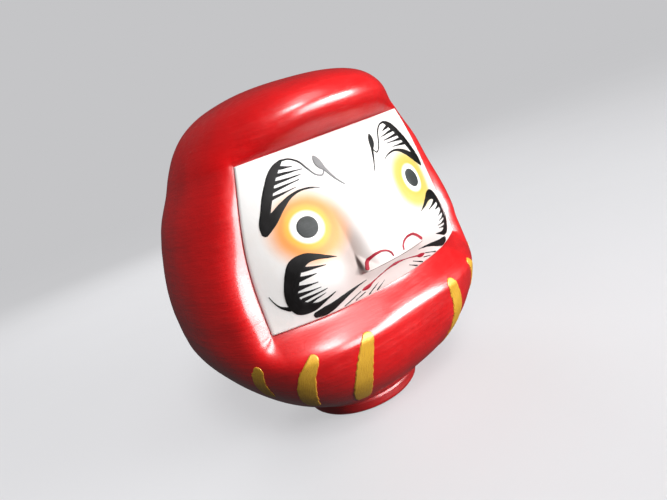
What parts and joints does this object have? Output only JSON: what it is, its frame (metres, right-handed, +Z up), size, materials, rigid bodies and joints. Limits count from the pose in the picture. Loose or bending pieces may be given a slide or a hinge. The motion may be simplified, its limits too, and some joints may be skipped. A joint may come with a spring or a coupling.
{
  "type": "daruma doll",
  "caption": "Round weighted doll of pasted paper with a recessed painted face, padded hood and belly rolls and a small flat foot; rocks back upright from a small tilt.",
  "frame": {"origin": "centre of the foot's flat underside, on the resting plane", "axes": "+Z up; the face looks along -Y; +X is to the right of someone facing the doll"},
  "size_m": [0.1352, 0.1297, 0.15],
  "materials": {
    "red_lacquer": "gloss red lacquer over pasted paper",
    "red_lacquer_strip": "gloss red lacquer over a pasted strip",
    "white_face": "satin white shell-paste ground with airbrushed yellow round the eyes",
    "red_clay": "dried clay painted gloss red",
    "hide_glue": "dull amber glue",
    "bare_paper": "plain matt paper",
    "black_ink": "satin black brush paint",
    "grey_ink": "satin charcoal paint",
    "crimson_ink": "satin crimson brush paint",
    "gold_paint": "satin ochre-gold brush paint"
  },
  "bodies": {
    "root": {"paper_shell": "red_lacquer", "back_seam_strip": "red_lacquer_strip", "face_panel": "white_face", "base_weight": "red_clay", "glue_ring": "hide_glue", "base_paper": "bare_paper", "pupil_left": "grey_ink", "pupil_right": "grey_ink", "brow_left": "black_ink", "brow_right": "black_ink", "cheek_mark_left": "black_ink", "cheek_mark_right": "black_ink", "moustache_left": "black_ink", "moustache_right": "black_ink", "nostril_left": "crimson_ink", "nostril_right": "crimson_ink", "lip_line": "crimson_ink", "gold_stripes_left": "gold_paint", "gold_stripes_right": "gold_paint"}
  },
  "joints": []
}
